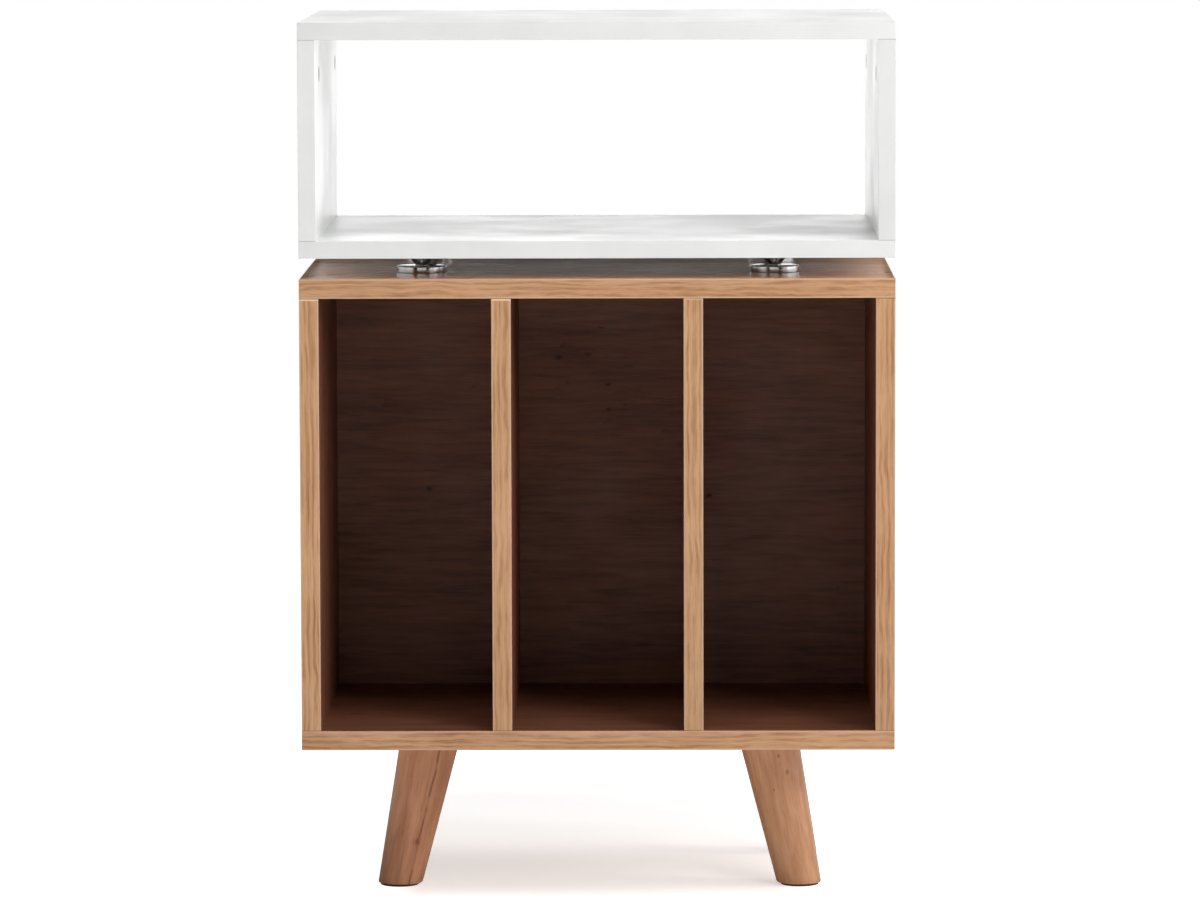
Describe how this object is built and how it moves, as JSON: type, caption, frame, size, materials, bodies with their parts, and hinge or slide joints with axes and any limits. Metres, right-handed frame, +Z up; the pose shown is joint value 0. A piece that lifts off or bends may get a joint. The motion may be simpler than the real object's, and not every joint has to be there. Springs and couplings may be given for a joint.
{
  "type": "hi-fi stand",
  "caption": "Hi-fi stand: an open white shelf on flared metal feet above an oak-effect record cabinet with upright dividers, on splayed tapered round wooden legs.",
  "frame": {"origin": "on the floor, under the middle of the stand", "axes": "+Z up, the open front looks along -Y, +X to the right when seen from the front"},
  "size_m": [0.55, 0.4, 0.8165],
  "materials": {
    "white_board": "satin white melamine on particleboard",
    "white_edging": "satin white edge strip",
    "oak_board": "oak-effect foil outside, dark walnut-effect foil inside the bays",
    "oak_edging": "satin oak-effect edge strip",
    "dark_panel": "dark walnut-effect foil",
    "leg_wood": "satin lacquered solid wood",
    "chrome": "polished",
    "zinc": "die-cast zinc",
    "steel": "zinc-plated steel",
    "beech": "bare beech",
    "felt": "dark felt"
  },
  "bodies": {
    "root": {"shelf_top_panel": "white_board", "shelf_bottom_panel": "white_board", "shelf_left_side": "white_board", "shelf_right_side": "white_board", "shelf_top_edging": "white_edging", "shelf_bottom_edging": "white_edging", "shelf_left_edging": "white_edging", "shelf_right_edging": "white_edging", "shelf_cam_locks": "zinc", "shelf_cam_bolts": "steel", "shelf_screws": "steel", "shelf_dowels": "beech", "shelf_inserts": "steel", "metal_feet": "chrome", "metal_foot_bolts": "steel", "cabinet_top_panel": "oak_board", "cabinet_bottom_panel": "oak_board", "cabinet_left_side": "oak_board", "cabinet_right_side": "oak_board", "divider_1": "oak_board", "divider_2": "oak_board", "cabinet_back_panel": "dark_panel", "cabinet_top_edging": "oak_edging", "cabinet_bottom_edging": "oak_edging", "cabinet_left_edging": "oak_edging", "cabinet_right_edging": "oak_edging", "divider_1_edging": "oak_edging", "divider_2_edging": "oak_edging", "cabinet_cam_locks": "zinc", "cabinet_cam_bolts": "steel", "cabinet_screws": "steel", "cabinet_dowels": "beech", "divider_dowels": "beech", "front_legs": "leg_wood", "rear_legs": "leg_wood", "leg_bolts": "steel", "leg_inserts": "steel", "leg_pads": "felt"}
  },
  "joints": []
}
